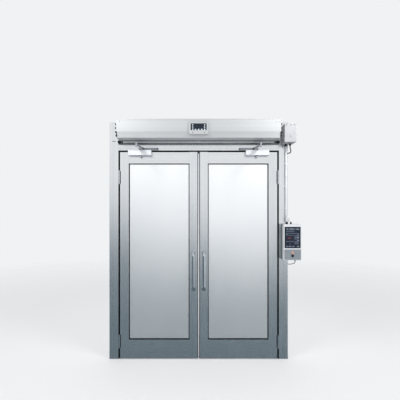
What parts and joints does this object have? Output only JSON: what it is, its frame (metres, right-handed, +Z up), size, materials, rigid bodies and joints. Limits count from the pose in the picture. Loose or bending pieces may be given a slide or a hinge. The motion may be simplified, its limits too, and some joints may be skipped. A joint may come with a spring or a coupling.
{
  "type": "emergency door",
  "caption": "Double-leaf emergency door with frosted panels, pull handles, closers with folding arms, a curtain housing above and a control panel on the right post.",
  "frame": {"origin": "middle of the left post's foot, on the floor", "axes": "+X along the doorway from the left post to the right one, +Y into the wall, away from the viewer, +Z up"},
  "size_m": [1.914, 0.352, 2.403],
  "materials": {
    "satin_steel": "satin, brushed upright",
    "housing_metal": "satin, brushed along its length",
    "curtain_aluminium": "satin",
    "curtain_cloth": "coated glass cloth",
    "frosted_glass": "frosted white",
    "black_rubber": "matte",
    "black_plastic": "matte",
    "dark_window": "smoked, glossy",
    "pale_plastic": "light grey, satin",
    "panel_metal": "grey, satin",
    "orange_plastic": "glossy",
    "polished_steel": "polished",
    "bright_steel": "fine satin",
    "closer_enamel": "silver enamel"
  },
  "bodies": {
    "frame": {"bottom_bar": "curtain_aluminium", "box_cable": "black_plastic", "box_gusset": "panel_metal", "cable_glands": "black_plastic", "conduit": "pale_plastic", "conduit_clips": "pale_plastic", "curtain_guides": "black_plastic", "curtain_roll": "curtain_cloth", "head_bar": "satin_steel", "head_stop_seal": "black_rubber", "housing_back": "housing_metal", "housing_cover": "housing_metal", "junction_box": "pale_plastic", "junction_lid": "pale_plastic", "left_frame_hinges": "bright_steel", "left_housing_end": "housing_metal", "left_post": "satin_steel", "left_shoe": "bright_steel", "left_stop_seal": "black_rubber", "panel_base": "panel_metal", "panel_button": "orange_plastic", "panel_cable": "black_plastic", "panel_cover": "panel_metal", "panel_display": "dark_window", "panel_flap": "panel_metal", "panel_key": "black_plastic", "post_caps": "satin_steel", "right_frame_hinges": "bright_steel", "right_housing_end": "housing_metal", "right_post": "satin_steel", "right_shoe": "bright_steel", "right_stop_seal": "black_rubber", "sensor_plate": "housing_metal", "sensor_window": "dark_window"},
    "left_leaf": {"left_bottom_rail": "satin_steel", "left_closer": "closer_enamel", "left_gasket": "black_rubber", "left_handle": "polished_steel", "left_hinge_stile": "satin_steel", "left_leaf_hinges": "bright_steel", "left_meeting_seal": "black_rubber", "left_meeting_stile": "satin_steel", "left_panel": "frosted_glass", "left_top_rail": "satin_steel"},
    "right_leaf": {"right_bottom_rail": "satin_steel", "right_closer": "closer_enamel", "right_gasket": "black_rubber", "right_handle": "polished_steel", "right_hinge_stile": "satin_steel", "right_leaf_hinges": "bright_steel", "right_meeting_seal": "black_rubber", "right_meeting_stile": "satin_steel", "right_panel": "frosted_glass", "right_top_rail": "satin_steel"},
    "left_main_arm": {"left_main_arm": "bright_steel"},
    "right_main_arm": {"right_main_arm": "bright_steel"},
    "left_forearm": {"left_forearm": "bright_steel"},
    "right_forearm": {"right_forearm": "bright_steel"}
  },
  "joints": [
    {"name": "left_leaf_swing", "type": "hinge", "parent": "frame", "child": "left_leaf", "pos_m": [0.053, -0.047, 0], "axis": [0, 0, -1], "range_deg": [0, 95], "stiffness_Nm_per_rad": 12},
    {"name": "left_spindle", "type": "hinge", "parent": "left_leaf", "child": "left_main_arm", "pos_m": [0.274, -0.0725, 2.117], "axis": [0, 0, 1], "range_deg": [0, 178.3]},
    {"name": "left_shoe_pivot", "type": "hinge", "parent": "frame", "child": "left_forearm", "pos_m": [0.2967, -0.0675, 2.131], "axis": [0, 0, -1], "range_deg": [0, 9.1]},
    {"name": "right_leaf_swing", "type": "hinge", "parent": "frame", "child": "right_leaf", "pos_m": [1.665, -0.047, 0], "axis": [0, 0, 1], "range_deg": [0, 95], "stiffness_Nm_per_rad": 12},
    {"name": "right_spindle", "type": "hinge", "parent": "right_leaf", "child": "right_main_arm", "pos_m": [1.444, -0.0725, 2.117], "axis": [0, 0, -1], "range_deg": [0, 178.3]},
    {"name": "right_shoe_pivot", "type": "hinge", "parent": "frame", "child": "right_forearm", "pos_m": [1.4213, -0.0675, 2.131], "axis": [0, 0, 1], "range_deg": [0, 9.1]}
  ],
  "couplings": [
    {"joint": "left_spindle", "follows": "left_leaf_swing", "ratio": 1.8711},
    {"joint": "left_shoe_pivot", "follows": "left_leaf_swing", "ratio": 0.0929},
    {"joint": "right_spindle", "follows": "right_leaf_swing", "ratio": 1.8711},
    {"joint": "right_shoe_pivot", "follows": "right_leaf_swing", "ratio": 0.0929}
  ]
}
